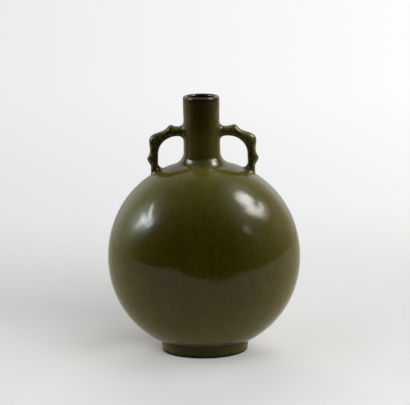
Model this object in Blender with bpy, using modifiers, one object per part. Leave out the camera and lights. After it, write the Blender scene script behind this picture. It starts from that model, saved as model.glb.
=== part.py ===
"""A glazed ceramic moon flask: a flattened round body, a tall neck, two lobed loop handles and a foot ring.

The flask is built from the clay pieces that a potter joins before glazing. The body is two moulded half
shells that meet on the upright seam plane y = 0. The flare of the thrown neck sits in a shallow seat cut
into the crown, and its spigot drops through the crown to the cavity. The oval foot ring is cut to the
curve of the belly, and each handle is cut to the neck and the shoulder. Every joint keeps the same small
gap. Metres, +Z up, the front faces -Y, and the origin is on the table under the middle of the foot.
"""

import math

import bmesh
import bpy
import numpy as np
from mathutils import Matrix, Vector

# Body, round from the front and pressed flat from front to back
BODY_HALF_WIDTH = 0.1119
BODY_HALF_DEPTH = 0.0895
BODY_CENTRE_Z = 0.1112
BODY_RISE = 0.1139
BODY_DROP = 0.1112
BODY_FULLNESS = 2.05
BODY_WALL = 0.0050
BASE_LIFT = 0.0070
BASE_THICKNESS = 0.0060

# Neck, from the crown of the body up to the lip
NECK_LENGTH = 0.0749
NECK_FOOT_RADIUS = 0.0208
NECK_WAIST_RADIUS = 0.0203
NECK_LIP_RADIUS = 0.0206
WAIST_BELOW_LIP = 0.0290
SWELL_BELOW_LIP = 0.0090
LIP_ROUND = 0.0028
BORE_RADIUS = 0.0163
FLARE_RADIUS = 0.0115
NECK_SEAT_DEPTH = 0.0022
SPIGOT_RADIUS = 0.0214

# Foot ring, an oval one
FOOT_HALF_WIDTH = 0.0515
FOOT_HALF_DEPTH = 0.0464
FOOT_WALL = 0.0085
FOOT_TAPER = 0.0016
FOOT_EDGE_ROUND = 0.0016

# Handles: a strap that leaves the neck level, turns a quarter oval and drops to the shoulder
HANDLE_RISE = 0.0340
HANDLE_REACH = 0.0557
LEVEL_RUN = 0.0073
CORNER_DROP = 0.0258
STRAP_THICK_AT_NECK = 0.0112
STRAP_THICK_AT_SHOULDER = 0.0066
STRAP_WIDE_AT_NECK = 0.0136
STRAP_WIDE_AT_SHOULDER = 0.0128
STRAP_SQUARENESS = 2.6
ROOT_FILLET = 0.0040
MOST_LEAN = 0.6

# Knuckles on the outside of each strap, counted from the neck
KNUCKLE_FIRST = 0.0146
KNUCKLE_PITCH = 0.0204
KNUCKLE_HEIGHTS = (0.0030, 0.0058, 0.0044)
KNUCKLE_HALF_WIDTHS = (0.0037, 0.0076, 0.0061)
KNUCKLE_SIDE_SWELL = 0.12

# Clearance kept at every joint between two clay pieces
JOINT_GAP = 0.0003

# Facets
BODY_STEPS = 60
BODY_RINGS = 24
CAVITY_STEPS = 48
CAVITY_RINGS = 14
NECK_STEPS = 48
NECK_RINGS = 6
FLARE_RINGS = 7
LIP_RINGS = 6
FOOT_STEPS = 52
EDGE_RINGS = 2
STRAP_SECTIONS = 52
STRAP_SIDES = 16
MERGE = 0.00001
SLOPE_STEP = 0.0001
SHARP_ANGLE = math.radians(38)

CROWN_Z = BODY_CENTRE_Z + BODY_RISE
LIP_Z = CROWN_Z + NECK_LENGTH
SKIRT_RADIUS = NECK_FOOT_RADIUS + FLARE_RADIUS
CLEAR = 2 * BODY_WALL


def body_curve(x, y):
    """Share of the body's rise, or of its drop, that is left at a distance from its axis."""
    spread = math.hypot(x / BODY_HALF_WIDTH, y / BODY_HALF_DEPTH)
    return (1 - spread**BODY_FULLNESS) ** (1 / BODY_FULLNESS)


def body_top_z(x, y=0.0):
    """Height of the body's upper outer face above the point (x, y)."""
    return BODY_CENTRE_Z + BODY_RISE * body_curve(x, y)


def body_under_z(x, y=0.0):
    """Height of the body's lower outer face over the point (x, y)."""
    return BODY_CENTRE_Z - BODY_DROP * body_curve(x, y)


def clear_scene():
    for obj in list(bpy.data.objects):
        bpy.data.objects.remove(obj, do_unlink=True)


def new_collection(name):
    collection = bpy.data.collections.new(name)
    bpy.context.scene.collection.children.link(collection)
    return collection


def ceramic(name, colour, roughness):
    """A dense glazed ceramic of one colour, given in linear light."""
    material = bpy.data.materials.new(name)
    material.use_nodes = True
    shader = material.node_tree.nodes["Principled BSDF"]
    shader.inputs["Base Color"].default_value = (*colour, 1.0)
    shader.inputs["Roughness"].default_value = roughness
    shader.inputs["Metallic"].default_value = 0.0
    shader.inputs["Coat Weight"].default_value = 0.6
    return material


def bake(obj):
    """Turns the object's modifiers into plain mesh."""
    graph = bpy.context.evaluated_depsgraph_get()
    mesh = bpy.data.meshes.new_from_object(obj.evaluated_get(graph))
    mesh.name = obj.name
    obj.modifiers.clear()
    obj.data = mesh


def turned(name, outline, steps, collection, closed=False):
    """A turned solid from (radius, height) points that run down its outer side."""
    mesh = bpy.data.meshes.new(name)
    links = [(i, i + 1) for i in range(len(outline) - 1)]
    if closed:
        links.append((len(outline) - 1, 0))
    mesh.from_pydata([(radius, 0.0, z) for radius, z in outline], links, [])
    obj = bpy.data.objects.new(name, mesh)
    collection.objects.link(obj)
    screw = obj.modifiers.new("Turn", "SCREW")
    screw.axis = "Z"
    screw.steps = steps
    screw.render_steps = steps
    screw.use_merge_vertices = True
    screw.merge_threshold = MERGE
    bake(obj)
    return obj


def press_flat(obj, ratio):
    """Presses a turned solid into an oval one, scaling only its depth."""
    obj.data.transform(Matrix.Diagonal((1.0, ratio, 1.0, 1.0)))


def box(name, low, high, collection):
    mesh = bpy.data.meshes.new(name)
    shape = bmesh.new()
    bmesh.ops.create_cube(shape, size=1.0)
    for vertex in shape.verts:
        for axis in range(3):
            share = vertex.co[axis] + 0.5
            vertex.co[axis] = low[axis] + share * (high[axis] - low[axis])
    shape.to_mesh(mesh)
    shape.free()
    obj = bpy.data.objects.new(name, mesh)
    collection.objects.link(obj)
    return obj


def cut(obj, cutter, name):
    boolean = obj.modifiers.new(name, "BOOLEAN")
    boolean.operation = "DIFFERENCE"
    boolean.solver = "EXACT"
    boolean.object = cutter


def finish(obj, material):
    """Bakes the cuts, shades the round faces smooth and gives the piece its material."""
    bake(obj)
    obj.data.materials.clear()
    obj.data.materials.append(material)
    obj.data.shade_smooth()
    obj.data.set_sharp_from_angle(angle=SHARP_ANGLE)


def body_outline(inset, floor_z, rings):
    """Half outline of the body, inset from its outer face, from the crown down to a flat floor."""
    power = 2 / BODY_FULLNESS
    drop = BODY_DROP - inset
    floor_share = min(1.0, (BODY_CENTRE_Z - floor_z) / drop)
    lowest = -math.asin(floor_share ** (1 / power))
    points = [(0.0, BODY_CENTRE_Z + BODY_RISE - inset)]
    for ring in range(1, rings + 1):
        angle = math.pi / 2 + (lowest - math.pi / 2) * ring / rings
        height = BODY_RISE - inset if angle > 0 else -drop
        radius = (BODY_HALF_WIDTH - inset) * math.cos(angle) ** power
        points.append((radius, BODY_CENTRE_Z + height * abs(math.sin(angle)) ** power))
    points.append((0.0, floor_z))
    return points


def body_solid(name, inset, floor_z, steps, rings, collection):
    """The body as a solid, its face moved inwards by inset all round."""
    obj = turned(name, body_outline(inset, floor_z, rings), steps, collection)
    press_flat(obj, (BODY_HALF_DEPTH - inset) / (BODY_HALF_WIDTH - inset))
    return obj


def seat_bed(name, depth, collection):
    """The body's face at the given depth, for the neck and its seat to be cut to."""
    return body_solid(name, depth, BODY_CENTRE_Z, BODY_STEPS, BODY_RINGS, collection)


def plug(name, radius, cutters):
    """A round bar on the body's axis, from its middle to above the lip."""
    outline = [(0.0, LIP_Z), (radius, LIP_Z), (radius, BODY_CENTRE_Z), (0.0, BODY_CENTRE_Z)]
    return turned(name, outline, NECK_STEPS, cutters)


def neck_seat(cutters):
    """What is taken from the crown to seat the neck: a round recess that follows the body's curve."""
    recess = plug("neck_seat", SKIRT_RADIUS + JOINT_GAP, cutters)
    cut(recess, seat_bed("neck_seat_bed", NECK_SEAT_DEPTH + JOINT_GAP, cutters), "Bed")
    bake(recess)
    return recess


def body_half(name, side, hollows, parts, cutters, material):
    """One moulded half shell: side is -1 for the front and +1 for the back."""
    half = body_solid(name, 0.0, BASE_LIFT, BODY_STEPS, BODY_RINGS, parts)
    for hollow in hollows:
        cut(half, hollow, hollow.name)
    wide = BODY_HALF_WIDTH + CLEAR
    far = -side * (BODY_HALF_DEPTH + CLEAR)
    seam = side * JOINT_GAP / 2
    low = (-wide, min(seam, far), -CLEAR)
    high = (wide, max(seam, far), LIP_Z)
    cut(half, box(name + "_seam", low, high, cutters), "Seam")
    finish(half, material)


def ease(share):
    """Smooth step from 0 to 1, level at both ends."""
    return 0.5 - 0.5 * math.cos(math.pi * share)


def neck_radius(z):
    """Outer radius of the neck between the top of its flare and the swelling under its lip."""
    foot_z = body_top_z(NECK_FOOT_RADIUS) + FLARE_RADIUS
    waist_z = LIP_Z - WAIST_BELOW_LIP
    swell_z = LIP_Z - SWELL_BELOW_LIP
    if z <= waist_z:
        share = max(0.0, (z - foot_z) / (waist_z - foot_z))
        return NECK_FOOT_RADIUS + (NECK_WAIST_RADIUS - NECK_FOOT_RADIUS) * ease(share)
    share = min(1.0, (z - waist_z) / (swell_z - waist_z))
    return NECK_WAIST_RADIUS + (NECK_LIP_RADIUS - NECK_WAIST_RADIUS) * ease(share)


def lip_outline():
    """The rounded lip, from the top of its inner side over the crest to its outer side."""
    half_wall = (NECK_LIP_RADIUS - BORE_RADIUS) / 2
    points = []
    for ring in range(LIP_RINGS + 1):
        angle = math.pi * (1 - ring / LIP_RINGS)
        radius = BORE_RADIUS + half_wall * (1 + math.cos(angle))
        points.append((radius, LIP_Z - LIP_ROUND + LIP_ROUND * math.sin(angle)))
    return points


def shaft_outline():
    """The outer side of the neck from under the lip down to the top of the flare."""
    top = LIP_Z - SWELL_BELOW_LIP
    foot = body_top_z(NECK_FOOT_RADIUS) + FLARE_RADIUS
    heights = [top + (foot - top) * ring / NECK_RINGS for ring in range(NECK_RINGS + 1)]
    return [(neck_radius(z), z) for z in heights]


def flare_outline():
    """The flare, a quarter round laid on the shoulder, from the shaft out to the skirt's edge."""
    points = []
    for ring in range(1, FLARE_RINGS + 1):
        angle = math.pi / 2 * ring / FLARE_RINGS
        radius = NECK_FOOT_RADIUS + FLARE_RADIUS * (1 - math.cos(angle))
        points.append((radius, body_top_z(radius) + FLARE_RADIUS * (1 - math.sin(angle))))
    return points


def settle_flare(neck):
    """Lowers the flare where the shoulder falls away, so that its edge stays flush all round."""
    for vertex in neck.data.vertices:
        x, y, z = vertex.co
        radius = math.hypot(x, y)
        if radius < NECK_FOOT_RADIUS:
            continue
        crown = body_top_z(radius)
        stand = min(1.0, max(0.0, (z - crown) / FLARE_RADIUS))
        vertex.co.z -= (1 - stand) * (crown - body_top_z(x, y))


def neck_piece(cavity, parts, cutters, material):
    """The neck: its flare lies in the seat and its spigot drops through the crown to the cavity's ceiling."""
    bottom = body_top_z(0.0, SKIRT_RADIUS) - BODY_WALL - CLEAR
    outline = lip_outline() + shaft_outline() + flare_outline()
    outline += [(SKIRT_RADIUS, bottom), (BORE_RADIUS, bottom)]
    neck = turned("neck", outline, NECK_STEPS, parts, closed=True)
    settle_flare(neck)
    bed = seat_bed("neck_bed", NECK_SEAT_DEPTH, cutters)
    cut(bed, plug("spigot", SPIGOT_RADIUS, cutters), "Spigot")
    bake(bed)
    cut(neck, bed, "Seat")
    cut(neck, cavity, "Ceiling")
    finish(neck, material)


def quarter_round(centre, radius, start):
    """Points of a quarter circle in the (radius, height) plane, running clockwise from an angle."""
    points = []
    for ring in range(EDGE_RINGS + 1):
        angle = start - math.pi / 2 * ring / EDGE_RINGS
        points.append((centre[0] + radius * math.cos(angle), centre[1] + radius * math.sin(angle)))
    return points


def foot_piece(parts, cutters, material):
    """The oval foot ring: a tapered wall with eased edges and a flat face to stand on."""
    top = body_under_z(0.0, FOOT_HALF_DEPTH) + FOOT_WALL
    outer = FOOT_HALF_WIDTH - FOOT_TAPER
    inner = FOOT_HALF_WIDTH - FOOT_WALL
    outline = [(FOOT_HALF_WIDTH, top), (FOOT_HALF_WIDTH, body_under_z(FOOT_HALF_WIDTH))]
    outline += quarter_round((outer - FOOT_EDGE_ROUND, FOOT_EDGE_ROUND), FOOT_EDGE_ROUND, 0.0)
    outline += quarter_round((inner + FOOT_EDGE_ROUND, FOOT_EDGE_ROUND), FOOT_EDGE_ROUND, -math.pi / 2)
    outline.append((inner, top))
    ring = turned("foot_ring", outline, FOOT_STEPS, parts, closed=True)
    press_flat(ring, FOOT_HALF_DEPTH / FOOT_HALF_WIDTH)
    belly = body_solid("belly", -JOINT_GAP, BASE_LIFT - JOINT_GAP, BODY_STEPS, BODY_RINGS, cutters)
    cut(ring, belly, "Saddle")
    finish(ring, material)


def strap_path():
    """Centre line of the right strap in the plane y = 0.

    Gives evenly spaced x and z values, each one's distance from the neck's face and the length that
    shows. The line starts inside the neck and ends under the shoulder, so that both ends can be cut to
    fit."""
    level_z = CROWN_Z + HANDLE_RISE
    face_x = neck_radius(level_z)
    corner_x = face_x + LEVEL_RUN
    sink = STRAP_THICK_AT_NECK / 2 + ROOT_FILLET
    turn = np.linspace(0.0, math.pi / 2, 4 * STRAP_SECTIONS)
    x = corner_x + (HANDLE_REACH - corner_x) * np.sin(turn)
    z = level_z - CORNER_DROP * (1 - np.cos(turn))
    x = np.concatenate([[face_x - sink], x, [HANDLE_REACH]])
    z = np.concatenate([[level_z], z, [body_top_z(HANDLE_REACH) - sink]])
    run = np.concatenate([[0.0], np.cumsum(np.hypot(np.diff(x), np.diff(z)))])
    even = np.linspace(0.0, run[-1], STRAP_SECTIONS)
    return np.interp(even, run, x), np.interp(even, run, z), even - sink, run[-1] - 2 * sink


def knuckle_height(along):
    """How far the knuckles stand out at a distance from the neck."""
    total = 0.0
    for index, (height, half_width) in enumerate(zip(KNUCKLE_HEIGHTS, KNUCKLE_HALF_WIDTHS)):
        offset = (along - KNUCKLE_FIRST - index * KNUCKLE_PITCH) / half_width
        total += height * math.exp(-offset * offset)
    return total


def superellipse(angle):
    """A point of a rounded square of half width 1."""
    power = 2 / STRAP_SQUARENESS
    first = math.copysign(abs(math.cos(angle)) ** power, math.cos(angle))
    second = math.copysign(abs(math.sin(angle)) ** power, math.sin(angle))
    return first, second


def strap_section(along, length):
    """Rounded section of the strap as (outward, sideways) offsets from its centre line."""
    share = min(1.0, max(0.0, along / length))
    knuckle = knuckle_height(along)
    thick = STRAP_THICK_AT_NECK + (STRAP_THICK_AT_SHOULDER - STRAP_THICK_AT_NECK) * share
    wide = STRAP_WIDE_AT_NECK + (STRAP_WIDE_AT_SHOULDER - STRAP_WIDE_AT_NECK) * share
    points = []
    for step in range(STRAP_SIDES):
        out, across = superellipse(2 * math.pi * step / STRAP_SIDES)
        stand = knuckle if out > 0 else 0.0
        points.append((out * (thick / 2 + stand), across * (wide / 2 + knuckle * KNUCKLE_SIDE_SWELL)))
    return points


def fillet_spread(lean, distance):
    """How far the clay spreads at a distance from the face that the strap grows out of.

    lean is the cosine between the strap's outward direction and that face's normal. The fillet reaches
    furthest where the strap leans over the face, as a ball rolled along the corner would leave it."""
    lean = min(MOST_LEAN, max(-MOST_LEAN, lean))
    reach = ROOT_FILLET * math.sqrt((1 - lean) / (1 + lean))
    return reach * math.exp(-2 * max(0.0, distance) / reach)


def shoulder_normal(x, y):
    slope_x = (body_top_z(x + SLOPE_STEP, y) - body_top_z(x - SLOPE_STEP, y)) / (2 * SLOPE_STEP)
    slope_y = (body_top_z(x, y + SLOPE_STEP) - body_top_z(x, y - SLOPE_STEP)) / (2 * SLOPE_STEP)
    return Vector((-slope_x, -slope_y, 1.0)).normalized()


def spread_root(point, outward):
    """Moves a point of the strap outwards by the fillets at its two roots."""
    neck_normal = Vector((point.x, point.y, 0.0)).normalized()
    face_x = math.sqrt(max(0.0, neck_radius(point.z) ** 2 - point.y**2))
    spread = fillet_spread(outward.dot(neck_normal), point.x - face_x)
    height = point.z - body_top_z(point.x, point.y)
    spread += fillet_spread(outward.dot(shoulder_normal(point.x, point.y)), height)
    return point + outward * spread


def strap_mesh(name):
    """Lofts the right strap through its sections and closes both ends."""
    xs, zs, alongs, length = strap_path()
    across_path = Vector((0.0, 1.0, 0.0))
    shape = bmesh.new()
    rings = []
    for index, (x, z, along) in enumerate(zip(xs, zs, alongs)):
        before = max(0, index - 1)
        after = min(len(xs) - 1, index + 1)
        out_of_path = Vector((zs[before] - zs[after], 0.0, xs[after] - xs[before])).normalized()
        ring = []
        for out, across in strap_section(along, length):
            offset = out_of_path * out + across_path * across
            point = spread_root(Vector((x, 0.0, z)) + offset, offset.normalized())
            ring.append(shape.verts.new(point))
        rings.append(ring)
    for ring, following in zip(rings, rings[1:]):
        for step in range(STRAP_SIDES):
            beyond = (step + 1) % STRAP_SIDES
            shape.faces.new((ring[step], ring[beyond], following[beyond], following[step]))
    shape.faces.new(reversed(rings[0]))
    shape.faces.new(rings[-1])
    bmesh.ops.recalc_face_normals(shape, faces=shape.faces)
    mesh = bpy.data.meshes.new(name)
    shape.to_mesh(mesh)
    shape.free()
    return mesh


def neck_core(cutters):
    """The neck without its bore and a joint gap larger, for the handles to be cut to."""
    outline = [(radius + JOINT_GAP, z) for radius, z in shaft_outline()]
    outline = [(0.0, LIP_Z), (outline[0][0], LIP_Z)] + outline
    outline += [(outline[-1][0], CROWN_Z), (0.0, CROWN_Z)]
    return turned("neck_core", outline, NECK_STEPS, cutters)


def handle_piece(name, side, saddles, parts, material):
    """One handle: side is +1 for the right one and -1 for the left, its mirror image."""
    mesh = strap_mesh(name)
    if side < 0:
        mesh.transform(Matrix.Diagonal((-1.0, 1.0, 1.0, 1.0)))
        mesh.flip_normals()
    handle = bpy.data.objects.new(name, mesh)
    parts.objects.link(handle)
    for saddle in saddles:
        cut(handle, saddle, saddle.name)
    finish(handle, material)


def hide_cutters(cutters):
    for cutter in cutters.objects:
        cutter.hide_render = True
        cutter.display_type = "WIRE"


def build():
    clear_scene()
    parts = new_collection("moon_flask")
    cutters = new_collection("cutters")
    floor_z = BASE_LIFT + BASE_THICKNESS
    cavity = body_solid("cavity", BODY_WALL, floor_z, CAVITY_STEPS, CAVITY_RINGS, cutters)
    hollows = [cavity, neck_seat(cutters), plug("throat", SPIGOT_RADIUS + JOINT_GAP, cutters)]
    glaze = ceramic("glaze_body_front", (0.052, 0.043, 0.012), 0.22)
    body_half("body_front", -1, hollows, parts, cutters, glaze)
    glaze = ceramic("glaze_body_back", (0.048, 0.041, 0.012), 0.22)
    body_half("body_back", 1, hollows, parts, cutters, glaze)
    neck_piece(cavity, parts, cutters, ceramic("glaze_neck", (0.040, 0.031, 0.010), 0.20))
    foot_piece(parts, cutters, ceramic("glaze_foot_ring", (0.030, 0.026, 0.008), 0.35))
    shoulder = body_solid("shoulder", -JOINT_GAP, BODY_CENTRE_Z, BODY_STEPS, BODY_RINGS, cutters)
    saddles = [shoulder, neck_core(cutters)]
    for name, side in (("handle_left", -1), ("handle_right", 1)):
        handle_piece(name, side, saddles, parts, ceramic("glaze_" + name, (0.046, 0.038, 0.010), 0.24))
    hide_cutters(cutters)


build()
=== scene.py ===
"""A tea-dust glazed moon flask in a pale studio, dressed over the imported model.

The glazed skin of the body and neck, the two lobed handles and the foot ring are fine meshes that replace
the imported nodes. Metres, +Z up, the front faces -Y. Colours are in linear light."""

import math

import bmesh
import bpy
import numpy as np
from mathutils import Matrix, Vector

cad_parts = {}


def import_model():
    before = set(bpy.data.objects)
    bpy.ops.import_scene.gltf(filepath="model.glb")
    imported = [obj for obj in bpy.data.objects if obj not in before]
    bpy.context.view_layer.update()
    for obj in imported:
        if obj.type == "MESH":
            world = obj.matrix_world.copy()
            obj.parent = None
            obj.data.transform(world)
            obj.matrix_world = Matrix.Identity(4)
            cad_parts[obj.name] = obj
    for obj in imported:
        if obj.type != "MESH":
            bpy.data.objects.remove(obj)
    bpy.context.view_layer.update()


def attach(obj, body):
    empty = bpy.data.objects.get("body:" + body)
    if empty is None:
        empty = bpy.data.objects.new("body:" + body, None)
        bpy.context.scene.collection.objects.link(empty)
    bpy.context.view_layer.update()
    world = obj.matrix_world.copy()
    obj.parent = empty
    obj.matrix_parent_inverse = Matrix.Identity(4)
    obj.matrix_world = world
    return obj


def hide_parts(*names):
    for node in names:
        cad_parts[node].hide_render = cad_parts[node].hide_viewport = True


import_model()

# Body, as packed
BODY_HALF_WIDTH = 0.1119
BODY_HALF_DEPTH = 0.0895
BODY_CENTRE_Z = 0.1112
BODY_RISE = 0.1139
BODY_DROP = 0.1112
BODY_FULLNESS = 2.05
BODY_WALL = 0.0050
BASE_LIFT = 0.0070
BASE_THICKNESS = 0.0060
CROWN_Z = BODY_CENTRE_Z + BODY_RISE
CAVITY_FLOOR_Z = BASE_LIFT + BASE_THICKNESS

# Neck, as packed, but 0.5 mm larger in outer radius
LIP_Z = 0.3000
NECK_FOOT_RADIUS = 0.0213
NECK_WAIST_RADIUS = 0.0208
NECK_LIP_RADIUS = 0.0211
WAIST_BELOW_LIP = 0.0290
SWELL_BELOW_LIP = 0.0090
LIP_ROUND = 0.0028
BORE_RADIUS = 0.0163

# Flare round the neck's foot: its radius at the sides, and at the front and back
FLARE_RADIUS = 0.0115
FLARE_RADIUS_FRONT = 0.0088
# How strongly the flare shrinks between the left side and the front or back
FLARE_LOW_LEFT = 0.85
# Flatter facet of the flare at the front and back: its slope and how that changes across (degrees), how much
# longer the flare's curve runs there, and how wide it is along the curve (radians)
FACET_ANGLE = 32.0
FACET_TWIST = 9.0
FACET_STRETCH = 5.0
FACET_WIDTH = 0.105

# The neck leans to the left. The lean comes in over the first rise, grows from its lower share to the whole
# over the second, and fades out sideways
NECK_SHIFT = -0.0013
LEAN_FOOT_Z = 0.205
LEAN_FOOT_RISE = 0.025
LEAN_LOWER_SHARE = 0.75
LEAN_UPPER_Z = 0.240
LEAN_UPPER_RISE = 0.040
LEAN_HALF_WIDTH = 0.024
LEAN_FADE = 0.014

# Steps along each stretch of the flask's profile
LIP_STEPS = 8
SHAFT_STEPS = 25
BODY_STEPS = 96
BASE_STEPS = 5
BORE_STEPS = 13
CAVITY_STEPS = 40
CAVITY_FLOOR_STEPS = 4

# Foot ring, as packed, but with a rounder edge
FOOT_HALF_WIDTH = 0.0515
FOOT_HALF_DEPTH = 0.0464
FOOT_RATIO = FOOT_HALF_DEPTH / FOOT_HALF_WIDTH
FOOT_WALL = 0.0085
FOOT_TAPER = 0.0016
FOOT_EDGE_ROUND = 0.0020
# How far the foot's walls reach up into the body
FOOT_TUCK = 0.0015
# Height, depth and half width of the shallow lines that the thrower left on the foot
THROWING_LINES = ((0.0052, 0.00030, 0.0007), (0.0085, 0.00022, 0.0006), (0.0113, 0.00034, 0.0007))
# Steps down the foot's outer wall, round each edge and up its inner wall
FOOT_OUTER_STEPS = 40
FOOT_EDGE_STEPS = 7
FOOT_INNER_STEPS = 5
WELD_DISTANCE = 1e-6

# Handles, as packed, but with a thicker and rounder strap and larger fillets
HANDLE_RISE = 0.0340
HANDLE_REACH = 0.0557
LEVEL_RUN = 0.0073
CORNER_DROP = 0.0258
LEVEL_Z = CROWN_Z + HANDLE_RISE
# Thickness and width of the strap, each at the neck and at the shoulder
STRAP_THICK = (0.0119, 0.0074)
STRAP_WIDE = (0.0136, 0.0128)
STRAP_SQUARENESS = 2.15
# How far along the strap the middle of each knuckle lies, its height and its half width
KNUCKLE_AT = (0.0146, 0.0350, 0.0554)
KNUCKLE_HEIGHTS = (0.0030, 0.0058, 0.0044)
KNUCKLE_HALF_WIDTHS = (0.0037, 0.0076, 0.0061)
KNUCKLE_SIDE_SWELL = 0.12
NECK_FILLET = 0.0060
SHOULDER_FILLET = 0.0060
# How far from the neck's face and from the shoulder the strap has the section that its fillets start from
NECK_FILLET_AT = 0.006
SHOULDER_FILLET_AT = 0.008
# The strap's ends are closed inside the clay: at this share of the neck's radius, this deep in the shoulder
NECK_SINK = 0.93
SHOULDER_SINK = 0.0015
# The strap's centre line starts this far inside the neck and ends at this height inside the body
LINE_LEAD = 0.02
LINE_END_Z = 0.18
LINE_POINTS = 600
TANGENT_STEP = 0.0008


def body_curve(x, y):
    """Share of the body's rise or drop that is left at (x, y): 1 in the middle and 0 round the rim."""
    spread = np.minimum(1.0, np.hypot(x / BODY_HALF_WIDTH, y / BODY_HALF_DEPTH))
    return (1 - spread**BODY_FULLNESS) ** (1 / BODY_FULLNESS)


def body_top(x, y):
    return BODY_CENTRE_Z + BODY_RISE * body_curve(x, y)


def ease(share):
    return 0.5 - 0.5 * np.cos(np.pi * np.clip(share, 0.0, 1.0))


def neck_radius(z):
    """Outer radius of the neck: it narrows from its foot to its waist and swells again below the lip."""
    foot_z = body_top(NECK_FOOT_RADIUS, 0.0) + FLARE_RADIUS
    waist_z = LIP_Z - WAIST_BELOW_LIP
    rise = ease((z - foot_z) / (waist_z - foot_z))
    swell = ease((z - waist_z) / (WAIST_BELOW_LIP - SWELL_BELOW_LIP))
    lower = NECK_FOOT_RADIUS + (NECK_WAIST_RADIUS - NECK_FOOT_RADIUS) * rise
    upper = NECK_WAIST_RADIUS + (NECK_LIP_RADIUS - NECK_WAIST_RADIUS) * swell
    return np.where(z < waist_z, lower, upper)


def signed_volume(mesh):
    """Six times the mesh's volume, below 0 where its faces look inwards."""
    mesh.calc_loop_triangles()
    points = np.empty(len(mesh.vertices) * 3)
    mesh.vertices.foreach_get("co", points)
    faces = np.empty(len(mesh.loop_triangles) * 3, np.int32)
    mesh.loop_triangles.foreach_get("vertices", faces)
    corners = points.reshape(-1, 3)[faces.reshape(-1, 3)]
    return np.linalg.det(corners).sum()


def mesh_from_rings(name, rings, start=None, end=None):
    """A smooth mesh through rings of points. Where start or end is given, that point closes the end ring."""
    rows, columns = rings.shape[:2]
    points = [tuple(p) for p in rings.reshape(-1, 3)]
    faces = []
    for row in range(rows - 1):
        for column in range(columns):
            beyond = (column + 1) % columns
            a, b = row * columns + column, row * columns + beyond
            faces.append((a, b, b + columns, a + columns))
    for tip, row in ((start, 0), (end, rows - 1)):
        if tip is None:
            continue
        points.append(tuple(tip))
        for column in range(columns):
            a, b = row * columns + column, row * columns + (column + 1) % columns
            faces.append((a, b, len(points) - 1) if row else (b, a, len(points) - 1))
    mesh = bpy.data.meshes.new(name)
    mesh.from_pydata(points, [], faces)
    mesh.update()
    if signed_volume(mesh) < 0:
        mesh.flip_normals()
    mesh.shade_smooth()
    obj = bpy.data.objects.new(name, mesh)
    bpy.context.scene.collection.objects.link(obj)
    return obj


def neck_shift(points):
    """Leans the neck and what is close to it to the left, easing out over the shoulder and the straps."""
    x, z = points[..., 0], points[..., 2]
    rise = ease((z - LEAN_FOOT_Z) / LEAN_FOOT_RISE)
    upper = np.clip((z - LEAN_UPPER_Z) / LEAN_UPPER_RISE, 0.0, 1.0)
    lean = LEAN_LOWER_SHARE + (1 - LEAN_LOWER_SHARE) * upper
    near = 1 - ease((np.abs(x) - LEAN_HALF_WIDTH) / LEAN_FADE)
    points[..., 0] += NECK_SHIFT * rise * lean * near
    return points


# The glazed skin of body and neck
def lip_arc(angle):
    """(radius, height) on the rounded lip. Angle 0 is outside, and pi is inside."""
    half_wall = (NECK_LIP_RADIUS - BORE_RADIUS) / 2
    return BORE_RADIUS + half_wall * (1 + np.cos(angle)), LIP_Z - LIP_ROUND + LIP_ROUND * np.sin(angle)


def side_arc(reach, rise, drop, top_r, floor_z, steps):
    """(radius, height) down the body's rounded side, from the radius top_r to the height floor_z."""
    power = 2 / BODY_FULLNESS
    top = math.acos((top_r / reach) ** (1 / power))
    bottom = -math.asin(((BODY_CENTRE_Z - floor_z) / drop) ** (1 / power))
    angle = np.linspace(top, bottom, steps + 1)
    height = np.where(angle > 0, rise, -drop) * np.abs(np.sin(angle)) ** power
    return reach * np.cos(angle) ** power, BODY_CENTRE_Z + height


def flare_curve(turn_x, turn_y, steps=36):
    """Shares of the flare's way out and down. It bends round a circle, with a flatter facet at the front."""
    angle = np.linspace(0.0, np.pi / 2, steps + 1)
    middle = math.radians(FACET_ANGLE + FACET_TWIST * turn_x)
    bend = 1 + FACET_STRETCH * turn_y**2 * np.exp(-(((angle - middle) / FACET_WIDTH) ** 2))
    out = np.cumsum((bend * np.sin(angle))[1:] + (bend * np.sin(angle))[:-1])
    down = np.cumsum((bend * np.cos(angle))[1:] + (bend * np.cos(angle))[:-1])
    return out / out[-1], down / down[-1]


def outer_profile(turn_x, turn_y):
    """(radius, height) from the lip's crest down to the base, in the direction (turn_x, turn_y)."""
    lip_r, lip_z = lip_arc(np.linspace(np.pi / 2, 0.0, LIP_STEPS + 1)[:-1])
    crown = body_top(NECK_FOOT_RADIUS * turn_x, NECK_FOOT_RADIUS * turn_y)
    flare = FLARE_RADIUS + (FLARE_RADIUS_FRONT - FLARE_RADIUS) * turn_y**2
    flare *= 1 + FLARE_LOW_LEFT * min(turn_x, 0.0) * turn_y**2
    shaft_z = np.linspace(LIP_Z - LIP_ROUND, crown + flare, SHAFT_STEPS + 1)
    shaft_r = neck_radius(shaft_z)
    out, down = flare_curve(turn_x, turn_y)
    flare_r = NECK_FOOT_RADIUS + flare * out
    flare_z = body_top(flare_r * turn_x, flare_r * turn_y) + flare * (1 - down)
    reach = 1 / math.hypot(turn_x / BODY_HALF_WIDTH, turn_y / BODY_HALF_DEPTH)
    body_r, body_z = side_arc(reach, BODY_RISE, BODY_DROP, flare_r[-1], BASE_LIFT, BODY_STEPS)
    base_r = body_r[-1] * np.linspace(1.0, 0.0, BASE_STEPS + 1)[1:-1]
    r = np.concatenate([lip_r, shaft_r, flare_r, body_r[1:], base_r])
    return r, np.concatenate([lip_z, shaft_z, flare_z, body_z[1:], np.full_like(base_r, BASE_LIFT)])


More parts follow.
